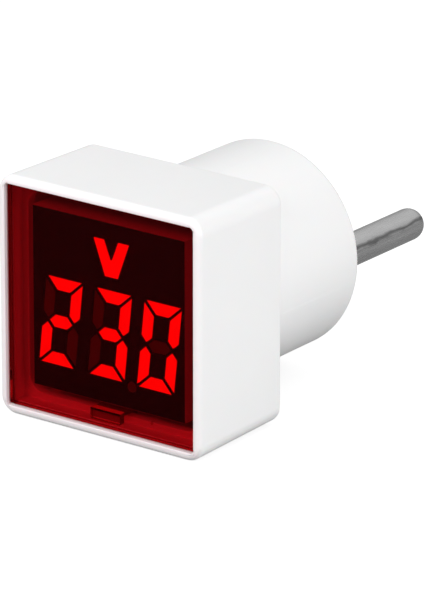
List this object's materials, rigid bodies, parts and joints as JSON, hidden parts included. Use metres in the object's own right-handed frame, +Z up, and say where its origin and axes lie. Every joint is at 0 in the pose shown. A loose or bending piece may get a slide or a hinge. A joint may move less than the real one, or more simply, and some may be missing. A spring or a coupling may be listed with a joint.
{
  "type": "plug-in mains voltmeter",
  "caption": "Outlet tester plug: square white display head with a red window and lit digits, on a round plug body with bare round mains pins.",
  "frame": {"origin": "centre of the plug body's flat rear face, midway between the two pins, where the object seats against a socket", "axes": "+Y is the way the pins point, -Y faces the person reading the display, +Z is up as the display is read, +X is to the right as the display is read"},
  "size_m": [0.03, 0.0515, 0.03],
  "materials": {
    "white_abs": "satin moulded",
    "red_acrylic": "clear red, polished",
    "zinc_steel": "zinc plated",
    "nickel_brass": "nickel plated, drawn along its length",
    "grey_nylon": "matt",
    "black_face": "matt black",
    "segment_resin": "light-scattering resin, lit red",
    "circuit_board": "solder mask",
    "header_plastic": "matt",
    "chip_resin": "matt moulded",
    "chip_ceramic": "glazed",
    "capacitor_yellow": "satin",
    "capacitor_sleeve": "shrink sleeve",
    "varistor_coating": "dipped epoxy",
    "resistor_enamel": "enamel",
    "wire_red": "PVC",
    "wire_black": "PVC",
    "wire_white": "PVC"
  },
  "bodies": {
    "root": {"head_shell": "white_abs", "plug_body": "white_abs", "lens_window": "red_acrylic", "shell_screw_1": "zinc_steel", "shell_screw_2": "zinc_steel", "shell_screw_3": "zinc_steel", "shell_screw_4": "zinc_steel", "pin_right": "nickel_brass", "pin_left": "nickel_brass", "pin_retainer_right": "grey_nylon", "pin_retainer_left": "grey_nylon", "display_reflector": "black_face", "display_fill": "segment_resin", "display_substrate": "circuit_board", "display_header_upper": "header_plastic", "display_header_lower": "header_plastic", "display_board": "circuit_board", "driver_chip": "chip_resin", "digit_transistor_1": "chip_resin", "digit_transistor_2": "chip_resin", "digit_transistor_3": "chip_resin", "segment_resistor_1": "chip_ceramic", "segment_resistor_2": "chip_ceramic", "segment_resistor_3": "chip_ceramic", "segment_resistor_4": "chip_ceramic", "segment_resistor_5": "chip_ceramic", "segment_resistor_6": "chip_ceramic", "segment_resistor_7": "chip_ceramic", "segment_resistor_8": "chip_ceramic", "power_board": "circuit_board", "dropper_capacitor": "capacitor_yellow", "smoothing_capacitor": "capacitor_sleeve", "varistor": "varistor_coating", "fuse_resistor": "resistor_enamel", "bleed_resistor": "resistor_enamel", "zener_diode": "chip_resin", "bridge_rectifier": "chip_resin", "link_wire_red": "wire_red", "link_wire_black": "wire_black", "link_wire_white": "wire_white"}
  },
  "joints": []
}
